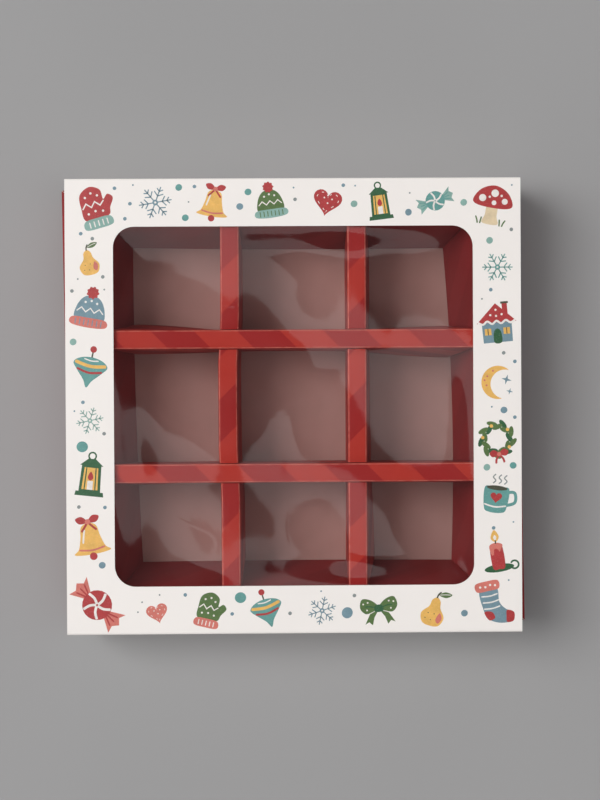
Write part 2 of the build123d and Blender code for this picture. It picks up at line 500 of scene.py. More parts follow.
def corner_flap(sheet, turns, flap_side, fold_run):
    """Glue flap at one end of an end wall, turned in along the next wall's inner face."""
    half_out = tray_half_length
    outward, run = wall_directions(turns)
    low = floor_top + corner_flap_clearance
    high = rim_top - board - corner_flap_clearance
    radius = fold_radius + board
    flap_end = half_out - corner_flap_length
    corners = [(half_out, fold_run - radius), (half_out, fold_run), (flap_end, fold_run)]
    path, distances = rounded_path(corners, radius, longest_run=4 * mm)
    grid = []
    for height_share in (1.0, 0.5, 0.0) if flap_side > 0 else (0.0, 0.5, 1.0):
        row = []
        for point, distance in zip(path, distances):
            taper = corner_flap_taper * max(0.0, half_out - point.x) / corner_flap_length
            height = low + taper + height_share * (high - low - 2 * taper)
            place = outward * point.x + run * flap_side * point.y
            blank = outward * (half_out + height) + run * flap_side * (fold_run + distance)
            row.append(((place.x, place.y, height), blank))
        grid.append(row)
    sheet.patch(grid)


def make_tray(materials):
    """Floor and four roll-over walls from one blank, a little skewed in the sleeve."""
    sheet = Sheet()
    floor_x = tray_half_length - floor_inset
    floor_y = tray_half_width - floor_inset
    places = [[(a * floor_x, b * floor_y) for b in wall_shares] for a in wall_shares]
    sheet.patch([[((x, y, tray_underside), (x, y)) for x, y in row] for row in places])
    flap_run = tray_half_width - flap_stack
    outer_end_run = flap_run - fold_radius - board
    for turns in range(4):
        is_end = turns % 2 == 1
        tray_wall(sheet, turns, outer_end_run if is_end else tray_half_length)
        for side in (-1, 1) if is_end else ():
            corner_flap(sheet, turns, side, flap_run)
    piece = sheet.piece("folded_tray", board, materials)
    piece.data.transform(Matrix.Rotation(tray_yaw, 4, "Z"))
    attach(piece, "tray")
    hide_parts("tray")


# Partition strips

class Strip:
    """An inverted channel of board. Its legs lean out by millimetres listed for places along it."""

    def __init__(self, node, centre, lean_left, lean_right, bow=0.0):
        self.node = node
        self.centre = centre
        self.leans = {1: lean_left, -1: lean_right}
        self.bow = bow
        self.is_row = node.startswith("row")
        self.top, self.crossing = (rim_top, column_centre) if self.is_row else (column_high.z, row_centre)

    def lean(self, side, along):
        """How far the leg's foot stands out at a place along the strip, flaring past the crossings."""
        crossing = self.crossing
        last_run = window_half - crossing
        past = min(1.0, max(0.0, (abs(along) - crossing) / last_run))
        flared = min(abs(along), crossing) + last_run * math.sin(past * math.pi / 2)
        stations = [-window_half, -crossing, 0.0, crossing, window_half]
        return float(np.interp(math.copysign(flared, along), stations, self.leans[side])) * mm

    def leg(self, side, along, height, inset=0.0):
        """Place across the strip of one leg's outer face, or further in by the inset."""
        depth = (self.top - height) / (self.top - floor_top)
        return side * (strip_width / 2 - inset + self.lean(side, along) * max(0.0, depth))

    def line(self, along):
        """Where the strip's middle line lies across it, pushed aside between the crossings."""
        stations = [self.crossing - bow_run / 2, self.crossing + bow_run / 2]
        return self.centre + float(np.interp(abs(along), stations, [self.bow, 0.0]))

    def world(self, along, across, height):
        if self.is_row:
            return (along, self.line(along) + across, height)
        return (self.line(along) - across, along, height)


# Faces along a strip: between its ends and slots, and across each slot
steps_between_slots = [7, 1, 3, 1, 8, 1, 3, 1, 7]

strips = [
    Strip("row_divider_back", row_centre, [3.0, 0.3, 0.2, 0.5, 2.0], [1.2, 0.4, 0.2, 0.5, 2.9]),
    Strip("row_divider_front", -row_centre, [-0.6, -0.4, -0.4, -0.4, -0.6], [2.2, 0.8, 0.5, 0.8, 2.0]),
    Strip(
        "column_divider_left", -column_centre,
        [0.6, 0.3, 0.3, 0.3, 0.6], [1.2, 0.9, 0.8, 0.7, 0.7], bow=-0.8 * mm,
    ),
    Strip(
        "column_divider_right", column_centre, [-0.4, -0.5, -0.5, -0.5, -0.4], [4.2, 3.0, 2.8, 2.7, 2.7]
    ),
]


def wall_face(strip, end, height):
    """Where the leaning wall stands at one end of a strip."""
    turns = strip.is_row + (0 if end > 0 else 2)
    half_out, rim = tray_sides[strip.is_row]
    outward, run = wall_directions(turns)
    strip_place = Vector(strip.world(end * window_half, 0.0, 0.0)[:2])
    share = strip_place.dot(run) / (tray_half_length - end_rim_width - wall_lean)
    foot_out = foot_line(turns)(share)[1]
    depth = (rim_top - height) / (rim_top - floor_top)
    top_out = half_out - rim
    skew = strip_place.dot(run) * math.sin(tray_yaw)
    return end * (top_out + (foot_out - top_out) * depth + skew)


def slot_edges(strip, height):
    """Places along a strip where its slots for the crossing legs begin and end, at one height."""
    edges = []
    others = sorted((other for other in strips if other.is_row != strip.is_row), key=lambda s: s.centre)
    for other in others:
        direction = 1 if other.is_row else -1
        middles = [
            other.line(strip.centre) + direction * other.leg(side, strip.centre, height, strip_board / 2)
            for side in (-1, 1)
        ]
        for middle in sorted(middles):
            edges += [middle - slot_width / 2, middle + slot_width / 2]
    return edges


def make_strip(strip, materials):
    """Folded strip with slots that let it cross the others."""
    half = strip_width / 2
    corners = [(-half, floor_top), (-half, strip.top), (half, strip.top), (half, floor_top)]
    path, distances = rounded_path(corners, fold_radius + strip_board, longest_run=1.6 * mm, arc_steps=3)
    slot_end = slot_height + slot_clearance if strip.is_row else slot_height - slot_clearance
    for side in (-1, 1):
        leg = [point for point in path if point.x * side > half - hair]
        nearest = min(leg, key=lambda point: abs(point.y - slot_end))
        nearest.y = slot_end
    middle = distances[-1] / 2
    grid = []
    for index, point in enumerate(path):
        height = point.y
        side = 1 if point.x > 0 else -1
        ends = [wall_face(strip, end, height) - end * strip_end_gap for end in (-1, 1)]
        keys = [ends[0], *slot_edges(strip, height), ends[1]]
        row = []
        for start, stop, steps in zip(keys, keys[1:], steps_between_slots):
            last = stop == keys[-1]
            for step in range(steps + last):
                along = start + (stop - start) * step / steps
                across = point.x
                if abs(point.x) > half - hair:
                    across = strip.leg(side, along, height)
                drop = 0.0
                if not strip.is_row and height > slot_end:
                    off = min(abs(along - row_centre), abs(along + row_centre)) - strip_width / 2
                    share = (height - slot_end) / (strip.top - slot_end)
                    drop = crossing_dip * share * math.exp(-(max(0.0, off) / crossing_dip_reach) ** 2)
                row.append((strip.world(along, across, height - drop), (along, distances[index] - middle)))
        grid.append(row)
    slot_columns = []
    for index, steps in enumerate(steps_between_slots):
        slot_columns += [index % 2 == 1] * steps

    def is_open(i, j):
        height = (path[i].y + path[i + 1].y) / 2
        beyond = height < slot_end if strip.is_row else height > slot_end
        return slot_columns[j] and beyond

    sheet = Sheet()
    sheet.patch(grid, is_open)
    piece = sheet.piece(strip.node.replace("divider", "strip"), strip_board, materials)
    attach(piece, "tray")
    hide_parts(strip.node)


# Window film

film_steps = 150
film_wave_origin = Vector((-0.023, -0.055, 119.765))
film_wave_length = 40.0 * mm
film_wave_stretch = 1.23
film_wave_turn = math.radians(85.5)
film_wave_height = 0.655 * mm
film_fine_share = 0.46
film_sag = 0.09 * mm
film_calm_reach = 10.3 * mm
crease_height = 0.265 * mm
crease_reach = 5.0 * mm
crease_low = (-0.7 * mm, -25.0 * mm)
crease_high = (25.0 * mm, 20.0 * mm)
crease_bend = 6.0
fine_wave_scale = 2.1
fine_wave_origin = Vector((7.3, 1.9, 0.0))


def film_crease(x, y):
    """A soft crease that curves down from right of the middle and fades at its ends."""
    rise = crease_high[1] - crease_low[1]
    reach = crease_high[0] - crease_low[0]
    share = (y - crease_low[1]) / rise
    if not 0.0 < share < 1.0:
        return 0.0
    slant = crease_bend * share ** (crease_bend - 1) * reach / rise
    off = (x - crease_low[0] - reach * share ** crease_bend) / math.hypot(1.0, slant)
    return crease_height * math.sin(math.pi * share) * math.exp(-(off / crease_reach) ** 2)


def film_height(x, y):
    """How far the film stands above its flat place: waves that die away towards its glued edge."""
    edge = max(abs(x), abs(y))
    calm = min(1.0, max(0.0, (window_half - edge) / film_calm_reach))
    calm = calm * calm * (3 - 2 * calm)
    along, across = Matrix.Rotation(-film_wave_turn, 2) @ Vector((x, y)) / film_wave_length
    place = Vector((along / film_wave_stretch, across, 0.0)) + film_wave_origin
    fine_place = place * fine_wave_scale + fine_wave_origin
    wave = noise.noise(place) + film_fine_share * noise.noise(fine_place)
    return calm * (film_wave_height * wave - film_sag + film_crease(x, y))


def make_film(material):
    """Clear sheet, flat where it is glued and gently waved across the window."""
    half = film_high.x
    corner = half - film_corner_radius
    thickness = film_high.z - film_low.z
    sheet = Sheet()
    grid = []
    for i in range(film_steps + 1):
        row = []
        for j in range(film_steps + 1):
            x = half * (2 * i / film_steps - 1)
            y = half * (2 * j / film_steps - 1)
            over_x = max(0.0, abs(x) - corner)
            over_y = max(0.0, abs(y) - corner)
            if over_x and over_y:
                pull = max(over_x, over_y) / math.hypot(over_x, over_y)
                x = math.copysign(corner + over_x * pull, x)
                y = math.copysign(corner + over_y * pull, y)
            row.append(((x, y, film_low.z + film_height(x, y)), (x, y)))
        grid.append(row)
    sheet.patch(grid)
    piece = sheet.piece("waved_film", thickness, [material] * 3)
    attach(piece, "sleeve")
    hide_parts("window_film")


# Print on the sleeve. Motifs are drawn in millimetres round their own middle, pointing up.

def spline(points, steps=6):
    """Catmull-Rom curve from the second point up to the last but one, which stays out."""
    line = []
    for before, start, end, after in zip(points, points[1:], points[2:], points[3:]):
        for step in range(steps):
            t = step / steps
            bend = (2 * before - 5 * start + 4 * end - after) * t ** 2
            twist = (3 * start - before - 3 * end + after) * t ** 3
            line.append((2 * start + (end - before) * t + bend + twist) / 2)
    return line


def closed_curve(points):
    """Smooth closed outline through a few points."""
    ring = [Vector(point) for point in points]
    return spline([ring[-1], *ring, *ring[:2]])


def open_curve(points):
    """Smooth line through a few points."""
    line = [Vector(point) for point in points]
    return spline([line[0], *line, line[-1]]) + [line[-1]]


def oval(x, y, half_long, half_short, turn=0.0, steps=22):
    """Oval outline, its long side turned by the angle in degrees."""
    spin = Matrix.Rotation(math.radians(turn), 2) @ Matrix(((half_long, 0), (0, half_short)))
    angles = [2 * math.pi * step / steps for step in range(steps)]
    return [Vector((x, y)) + spin @ Vector((math.cos(a), math.sin(a))) for a in angles]


def polar(degrees, radius, x=0.0, y=0.0):
    """Point at an angle and a distance from a middle."""
    angle = math.radians(degrees)
    return Vector((x + radius * math.cos(angle), y + radius * math.sin(angle)))


def arc(x, y, radius, start, end, steps=14):
    """Points of an arc between two angles in degrees."""
    return [polar(start + (end - start) * step / steps, radius, x, y) for step in range(steps + 1)]


def stroke(points, width, smooth=True):
    """Outline of a pen line, a little thinner towards its ends."""
    line = open_curve(points) if smooth else [Vector(point) for point in points]
    left = []
    right = []
    last = len(line) - 1
    for index, point in enumerate(line):
        run = (line[min(last, index + 1)] - line[max(0, index - 1)]).normalized()
        side = Vector((-run.y, run.x)) * width / 2
        if index in (0, last):
            side *= stroke_end_share
        left.append(point + side)
        right.append(point - side)
    return left + right[::-1]


def symmetric(half):
    """The points, then backwards the mirror images of those that lie off the middle line."""
    return half + [(-x, y) for x, y in reversed(half) if x]


class Pen:
    """Lays the inks of one motif on a panel, each shape a closed layer thinner than a hair."""

    meshes = {ink: bmesh.new() for ink in inks}

    def __init__(self, panel, x, y, turn=0.0, size=1.0):
        self.panel = panel
        self.middle = Vector((x, y))
        self.turn = Matrix.Rotation(math.radians(turn), 2) * size

    def turned(self, degrees, side=1):
        """Pen that draws turned round the motif's middle, and mirrored where the side is -1."""
        pen = copy.copy(self)
        pen.turn = self.turn @ Matrix.Rotation(math.radians(degrees), 2) @ Matrix(((side, 0), (0, 1)))
        return pen

    def halves(self):
        return self.turned(0, -1), self

    def lay(self, ink, outline, level=0):
        """A closed shape, on top of as many layers as its level says."""
        flat = []
        for point in outline:
            place = self.middle + self.turn @ Vector(point)
            shake = noise.noise_vector(Vector((*place, 0.0)) / ink_wobble_length)
            flat.append(place + shake.xy * ink_wobble)
        pairs = zip(flat, flat[1:] + flat[:1])
        if sum(start.x * end.y - end.x * start.y for start, end in pairs) < 0:
            flat.reverse()
        mesh = self.meshes[ink]
        rings = []
        for height in (level * ink_layer, (level + 1) * ink_layer):
            rings.append([mesh.verts.new(self.panel @ Vector((*point * mm, height))) for point in flat])
        bottom, top = rings
        mesh.faces.new(top)
        mesh.faces.new(bottom[::-1])
        for index in range(len(flat)):
            after = (index + 1) % len(flat)
            mesh.faces.new((bottom[index], bottom[after], top[after], top[index]))

    def blob(self, ink, points, level=0):
        self.lay(ink, closed_curve(points), level)

    def line(self, ink, points, width, level=0, smooth=True):
        self.lay(ink, stroke(points, width, smooth), level)

    def dot(self, ink, x, y, radius, level=0):
        self.lay(ink, oval(x, y, radius, radius), level)

    def speckle(self, ink, places, radius, level=1):
        for x, y in places:
            self.lay(ink, oval(x, y, radius, radius, steps=10), level)


def bell(pen):
    body = [(0, 4.3), (2, 3.4), (2.6, 0.6), (3.5, -2.2), (4.7, -3.5), (0, -4)]
    pen.blob("yellow", symmetric(body))
    pen.dot("red", 0, -4.5, 1, 1)
    pen.line("pink", [(-3.4, -2.4), (0, -2.9), (3.4, -2.4)], 0.5, 1)
    pen.line("white", [(-1.2, 2.7), (-1.7, 0.9), (-2.1, -0.8)], 0.45, 1)
    for half in pen.halves():
        half.blob("red", [(0, 4.5), (1.4, 6.1), (3.1, 5.7), (2.2, 4.3)], 1)
        half.line("red", [(0, 4.5), (1, 3.3), (2, 2.2)], 0.55, 1)
    pen.dot("pink", 0, 4.6, 0.7, 2)


def mitten(pen, ink="red", cuff="pale_teal"):
    hand = [
        (-2.7, -2.8), (-3.2, 0.6), (-2.7, 3.8), (0, 5.2), (2.4, 3.9), (2.6, 1.5),
        (3.9, 2.4), (5, 1.2), (3.8, -0.8), (2.7, -2.8),
    ]
    pen.blob(ink, hand)
    pen.blob(cuff, symmetric([(0, -2.6), (-3.2, -2.9), (-3.4, -4.9), (0, -5.2)]), 1)
    zigzag = [(-2.9, 0.2), (-1.8, 1.4), (-0.7, 0.2), (0.4, 1.4), (1.5, 0.2), (2.6, 1.2)]
    pen.line("white", zigzag, 0.45, 1, smooth=False)
    pen.speckle("white", [(-1.6, 2.9), (0, 3.6), (1.4, 2.7), (-1.8, -1.2), (0, -0.9), (1.8, -1.3)], 0.3)
    for x in (-2.2, -1.1, 0, 1.1, 2.2):
        pen.line("white", [(x, -3.2), (x, -4.7)], 0.28, 2)


def snowflake(pen, ink="blue_grey"):
    for index in range(6):
        arm = pen.turned(60 * index)
        arm.line(ink, [(0.5, 0), (5.2, 0)], 0.5, index, smooth=False)
        for start, end, rise in ((2.2, 3.3, 1.5), (3.7, 4.5, 1)):
            for y in (rise, -rise):
                arm.line(ink, [(start, 0), (end, y)], 0.5, index, smooth=False)
    pen.dot(ink, 0, 0, 0.9, 6)
    pen.dot("white", 0, 0, 0.35, 7)


def candle(pen, ink="red"):
    pen.lay("dark_green", oval(0, -4.2, 4.1, 1.1))
    pen.line("dark_green", arc(4.3, -3.9, 1.1, -150, 150), 0.5, 1, smooth=False)
    pen.blob(ink, [(-1.7, -4), (-1.7, 1.9), (-0.5, 2.4), (1.6, 2), (1.7, -4), (0, -4.5)], 1)
    drip = [(-1.8, 2.1), (-1.5, -0.4), (-0.9, -0.3), (-0.6, 1), (0.3, 1), (0.8, 0.2), (1.3, 0.9)]
    pen.blob("pink", drip + [(1.8, 2.1), (0, 2.8)], 2)
    pen.line("olive", [(0, 2.5), (0.1, 3.5)], 0.35, 3)
    pen.blob("yellow", [(0.1, 6.3), (1.2, 4.4), (0.1, 3), (-1.1, 4.2)], 2)
    pen.blob("white", [(0.1, 4.9), (0.5, 4.2), (0.1, 3.5), (-0.4, 4.2)], 4)


def sweet(pen, ink="teal", wrap="pale_teal"):
    fan = [(2, 0.5), (5.3, 2.5), (4.8, 1.2), (5.8, 0.2), (4.9, -0.9), (5.3, -2.3), (2, -0.5)]
    for half in pen.halves():
        half.lay(wrap, fan)
        for y in (1.1, 0, -1.1):
            half.line(ink, [(2.6, y * 0.3), (4.6, y)], 0.3, 1)
    pen.dot(ink, 0, 0, 2.9, 2)
    for index in range(5):
        swirl = pen.turned(72 * index)
        swirl.line("white", [(0.2, 0), (1.4, 0.3), (2.5, 1.2)], 0.5, 3 + index)


def stocking(pen, ink="blue_grey", heel="red"):
    leg = [
        (-2.3, 3.9), (2, 3.9), (2, 0.2), (3.2, -1.9), (5, -3.1), (4.5, -5.1),
        (1.4, -5.2), (-1.6, -3.6), (-2.4, -0.8),
    ]
    pen.blob(ink, leg)
    pen.blob(heel, [(3.5, -2.3), (5.1, -3.2), (4.6, -5.2), (2.9, -5.3), (3, -3.8)], 1)
    pen.blob(heel, [(-2.3, -1.7), (-0.4, -2), (0.1, -3.6), (-1.5, -3.9)], 1)
    pen.blob("pink", [(-3, 3.6), (-3.1, 5.6), (0, 5.9), (2.7, 5.6), (2.6, 3.6), (0, 3.4)], 1)
    for y in (2.3, 0.7, -0.9):
        pen.line("white", [(-2.2, y), (0, y - 0.25), (2, y)], 0.35, 1)
    pen.speckle("white", [(-2, 4.7), (-0.7, 4.5), (0.6, 4.8), (1.8, 4.5)], 0.3, 2)


def hat(pen, ink="green", brim="pale_teal", ball="red"):
    pen.blob(ink, symmetric([(0, 4.4), (2.2, 3.6), (3.6, 1.2), (3.7, -1.8), (0, -2.2)]))
    zigzag = symmetric([(-3.4, 0), (-2.3, 1.1), (-1.1, 0), (0, 1.1)])
    pen.line("white", zigzag, 0.4, 1, smooth=False)
    pen.speckle("white", [(-1.5, 2.5), (0, 3), (1.5, 2.5)], 0.3)
    pen.blob(brim, symmetric([(0, -1.4), (-4.3, -1.6), (-4.5, -3.4), (0, -3.9)]), 1)
    for x in (-3.3, -2.2, -1.1, 0, 1.1, 2.2, 3.3):
        pen.line(ink, [(x, -1.8), (x, -3.4)], 0.26, 2)
    angles = range(0, 360, 10)
    pen.lay(ball, [polar(a, 1.5 + 0.18 * math.cos(math.radians(9 * a)), 0, 5.1) for a in angles], 1)


def lantern(pen):
    pen.line("dark_green", arc(0, 5.4, 0.9, -60, 240), 0.4, smooth=False)
    pen.lay("dark_green", symmetric([(-2.9, 3), (-0.9, 4.7)]), 1)
    pen.lay("dark_green", symmetric([(2.4, 3), (2.7, -3.6)]))
    pen.lay("dark_green", symmetric([(3.4, -3.5), (3.6, -4.6)]), 1)
    pen.lay("yellow", symmetric([(1.7, 2.5), (2, -3)]), 1)
    pen.lay("white", symmetric([(-0.7, -3), (-0.7, -0.8)]), 2)
    pen.blob("red", symmetric([(0, 1.5), (0.7, 0.1), (0, -0.7)]), 2)
    for half in pen.halves():
        half.line("dark_green", [(1.15, 2.6), (1.35, -3.1)], 0.3, 3)


def heart_outline(size):
    """Heart of the usual sine formula, about two sizes wide."""
    outline = []
    for step in range(36):
        a = 2 * math.pi * step / 36
        x = 16 * math.sin(a) ** 3
        y = 13 * math.cos(a) - 5 * math.cos(2 * a) - 2 * math.cos(3 * a) - math.cos(4 * a)
        outline.append(Vector((x, y)) * size / 16)
    return outline


def heart(pen, ink="red"):
    pen.lay(ink, heart_outline(4.7))
    inner = heart_outline(3.6)
    for start in range(0, 36, 3):
        dash = [inner[start], inner[(start + 1) % 36]]
        pen.line("white", dash, 0.32, 1, smooth=False)
    pen.speckle("white", [(-1.2, 1), (0.2, -0.6), (1.4, 0.9)], 0.28)


def mug(pen, ink="teal"):
    pen.line(ink, [(2.4, 1.5), (4.6, 1.7), (4.9, -0.8), (2.2, -1.9)], 0.8)
    pen.blob(ink, symmetric([(0, 2.3), (3.1, 2.6), (2.9, -2.6), (1.6, -3.8)]), 1)
    pen.lay("olive", oval(0, 2.5, 2.7, 0.6), 2)
    pen.line("white", [(-2.9, -1.9), (0, -2.4), (2.8, -1.9)], 0.4, 2)
    pen.lay("red", [point * 0.34 + Vector((0, 0.1)) for point in heart_outline(4.4)], 2)
    for x in (-1.2, 0.3, 1.7):
        pen.line("grey", [(x, 3.6), (x + 0.6, 4.4), (x - 0.1, 5.2), (x + 0.5, 6)], 0.32)


def house(pen, walls="blue_grey", roof="red"):
    pen.lay(roof, [(1.6, 2), (2.9, 2), (2.9, 5), (1.6, 5)])
    pen.lay("olive", [(1.3, 4.9), (3.2, 4.9), (3.2, 5.4), (1.3, 5.4)], 1)
    pen.lay(walls, symmetric([(3.6, -4.5), (3.7, 1)]), 1)
    pen.lay(roof, [(-4.9, 0.4), (0, 5.1), (4.9, 0.4)], 2)
    snow = [(-4.6, 0.7), (-3.4, 0.1), (-2.3, 0.8), (-1.1, 0.1), (0, 0.8)]
    pen.line("white", symmetric(snow), 0.5, 3)
    pen.speckle("white", [(-1.4, 2.3), (0, 3.5), (1.4, 2.3), (0, 2)], 0.28, 3)
    pen.blob("dark_green", symmetric([(0, -1.1), (-0.9, -2), (-0.9, -4.5)]), 2)
    for half in pen.halves():
        half.lay("yellow", [(1.5, -2.6), (3.1, -2.6), (3.1, -1), (1.5, -1)], 2)
        half.line("olive", [(2.3, -2.6), (2.3, -1)], 0.22, 3)


def moon(pen):
    pen.lay("yellow", arc(0, 0, 4.8, 64, 296, 24) + arc(2.1, 0, 4.2, 270, 90, 18))
    pen.speckle("pink", [(-3.4, 1), (-3, -1.6), (-2.2, 2.9), (-3.9, -0.3)], 0.3)
    for x, y, reach in ((2.2, 1.4, 1.5), (3.9, -1.7, 1)):
        radii = (reach, 0.3 * reach) * 4
        pen.lay("blue_grey", [polar(45 * step, radius, x, y) for step, radius in enumerate(radii)])


def bow(pen, ink="green", line="dark_green"):
    for half in pen.halves():
        half.lay(ink, [(0, -0.2), (1.5, -2.4), (2.2, -4.6), (3.1, -3.6), (4.3, -4.2), (2.7, -1.4)])
        half.blob(ink, [(0, 0.3), (1.9, 2.4), (4.5, 3), (5.3, 0.6), (3.9, -1.2), (1.8, -0.8)], 1)
        half.line(line, [(0.6, 0.2), (2.3, 0.7), (3.9, 0.8)], 0.35, 2)
        half.speckle("white", [(3, 1.9), (4.3, 1.6), (3.4, -0.2)], 0.25, 2)
    pen.blob(line, symmetric([(1, 0.9), (1.1, -0.8)]), 3)


def mushroom(pen):
    pen.blob("cream", symmetric([(1.2, 0.2), (1.5, -2.6), (1.9, -4.6)]))
    pen.blob("red", symmetric([(0, 5), (3.4, 3.6), (5, 0.6), (2.8, -0.5)]), 1)
    spots = [(-2.7, 1.5, 0.9), (0.2, 3.1, 0.95), (2.9, 1.4, 0.75), (0.3, 0.7, 0.6), (-1, 2, 0.3)]
    for x, y, radius in spots + [(1.9, 2.7, 0.3)]:
        pen.dot("white", x, y, radius, 2)
    for x, lean in ((-3, -0.7), (-2.4, 0.2), (2.5, -0.2), (3.1, 0.7)):
        pen.line("green", [(x, -4.9), (x + lean * 0.4, -4), (x + lean, -3.2)], 0.35)


def spinning_top(pen):
    pen.line("olive", [(0, 2.4), (0, 5)], 0.6, smooth=False)
    pen.dot("red", 0, 5.2, 0.9, 1)
    body = [(0, 3), (3.1, 2.4), (4.7, 0.9), (3.4, -1), (1.2, -3.4), (0, -5.4)]
    pen.blob("teal", symmetric(body), 1)
    pen.line("yellow", [(-4.3, 1.2), (0, 0.5), (4.3, 1.2)], 0.9, 2)
    pen.line("red", [(-3.5, -0.6), (0, -1.3), (3.5, -0.6)], 0.6, 2)
    pen.line("white", [(-2, 2.3), (0, 2), (2, 2.3)], 0.35, 2)


def wreath(pen):
    for leaf in range(18):
        turn = 20 * leaf
        out, lean = (3.9, 60) if leaf % 2 else (3, 115)
        ink = "green" if leaf % 3 else "dark_green"
        pen.lay(ink, oval(*polar(turn, out), 1.35, 0.6, turn + lean, steps=12), leaf % 3)
    for turn in (35, 105, 165, 320):
        pen.dot("yellow", *polar(turn, 3.5), 0.42, 3)
    for half in pen.halves():
        half.blob("red", [(0, -3.6), (1.2, -2.5), (2.3, -3.2), (1.6, -4.2)], 4)
        half.line("red", [(0, -3.8), (0.8, -4.8), (1, -5.8)], 0.5, 4)
    pen.dot("pink", 0, -3.6, 0.5, 5)


def pear(pen):
    body = [
        (0.1, 3.4), (1.3, 2.4), (1.8, 0.4), (3.4, -2), (2.5, -4.6),
        (0, -5.2), (-2.5, -4.6), (-3.4, -2), (-1.6, 0.4), (-1.2, 2.4),
    ]
    pen.blob("yellow", body)
    pen.blob("pink", [(1.9, -0.9), (2.9, -2.3), (2.2, -4), (1.2, -3.1)], 1)
    pen.line("olive", [(0, 3.2), (0.2, 4.3), (0.8, 5.2)], 0.45, 1)
    pen.blob("green", [(0.4, 4.2), (2, 5.5), (4.1, 5.2), (2.6, 3.9)], 1)
    pen.line("white", [(0.6, 4.3), (2.2, 4.8), (3.6, 5.1)], 0.2, 2)
    pen.speckle("olive", [(-1.4, -1.6), (-0.2, -3.4), (-1.9, -3.2), (0.4, -1.5)], 0.16)


# Motif, place in millimetres on its panel, turn in degrees, size, and inks where they aren't its usual
frame_motifs = [
    (mitten, -66, 66.4, 16, 1.36), (snowflake, -45.8, 68, 10, 1.06),
    (bell, -26.5, 67.5, -9, 1.08), (hat, -7.5, 67.2, 8, 1.14),
    (heart, 11.5, 68.2, -12, 1.02), (lantern, 29, 67.3, 7, 1.14),
    (sweet, 47.5, 68.2, 22, 1.12), (mushroom, 66.6, 66.6, -10, 1.34),
    (snowflake, 68.2, 46, 0, 0.98, "teal"), (house, 67.9, 27, 5, 1.36),
    (moon, 68.2, 7.5, -14, 1.16), (wreath, 67.8, -11.5, 8, 1.38),
    (mug, 67.4, -31, -7, 1.30), (candle, 67.6, -49.5, 9, 1.22),
    (stocking, 65.8, -66.6, 12, 1.32), (pear, 46.5, -68, -16, 1.14),
    (bow, 28, -67.8, 6, 1.18), (snowflake, 9, -68.4, 18, 0.92),
    (spinning_top, -9.5, -67.8, 17, 1.14), (mitten, -28.8, -67.9, -13, 1.14, "green", "pink"),
    (heart, -46, -68.6, 14, 0.76, "pink"), (sweet, -66, -66, -45, 1.72, "red", "pink"),
    (bell, -68, -44, 10, 1.28), (lantern, -67.9, -23.5, -6, 1.34),
    (snowflake, -68, -4.5, 12, 0.88, "pale_teal"), (spinning_top, -67.9, 13, -12, 1.22),
    (hat, -67.8, 31.5, -10, 1.30, "blue_grey", "pink", "red"), (pear, -68.2, 49, 12, 0.98),
]

side_motifs = [
    (candle, -67, 7.5, -8, 1), (wreath, -49.5, -6.5, 5, 1.1),
    (mug, -32.5, 7, 9, 1, "teal"), (mitten, -15.5, -6, -12, 1.05),
    (moon, 1, 7.5, 10, 0.9), (house, 18, -6.5, -4, 1.1),
    (snowflake, 34.5, 7.5, 12, 0.85), (bow, 50.5, -7, -9, 1),
    (bell, 67, 6.5, 12, 1), (snowflake, -67.5, -10, 0, 0.6, "pale_teal"),
    (heart, -32, -10, 10, 0.62), (sweet, 1.5, -9.5, 15, 0.8, "red", "pink"),
    (hat, 34, -8.5, -8, 0.85, "teal", "pink", "red"), (pear, 67.5, -10, 14, 0.7),
    (stocking, -50, 9.5, 15, 0.72), (snowflake, -15, 9.5, 8, 0.62, "teal"),
    (mushroom, 18, 9.5, 8, 0.74), (lantern, 51, 9, 6, 0.72),
]

# Radius of each size of dot, and how many a panel has at most
dot_sizes = [(1.9, 14), (1.15, 24), (0.62, 44), (0.3, 30)]
dot_inks = ["teal", "pale_teal", "blue_grey", "grey"]
motif_reach = 5.9
panel_margin = 1.2
dot_tries = 14
dot_gap = 0.5
dot_spread = 2.0


def scatter_dots(panel, motifs, half_x, half_y, hole, seed, density=1.0):
    """Loose dots between the motifs, clear of the folds, the window and each other."""
    draw = random.Random(seed)
    taken = [(x, y, motif_reach * size) for motif, x, y, turn, size, *colours in motifs]
    for radius, most in dot_sizes:
        count = round(most * density)
        for attempt in range(most * dot_tries):
            x = draw.uniform(-half_x, half_x)
            y = draw.uniform(-half_y, half_y)
            edge = radius + panel_margin
            in_panel = abs(x) < half_x - edge and abs(y) < half_y - edge
            in_hole = max(abs(x), abs(y)) < hole + edge
            clear = all(math.hypot(x - a, y - b) > reach + radius + dot_gap for a, b, reach in taken)
            if not in_panel or in_hole or not clear or count == 0:
                continue
            count -= 1
            ink = draw.choice(dot_inks[:3] if radius > 1 else dot_inks[2:])
            dot = oval(0, 0, radius, 0.95 * radius, steps=24)
            Pen(panel, x, y, turn=draw.uniform(0, 90)).lay(ink, dot)
            taken.append((x, y, radius + dot_spread))


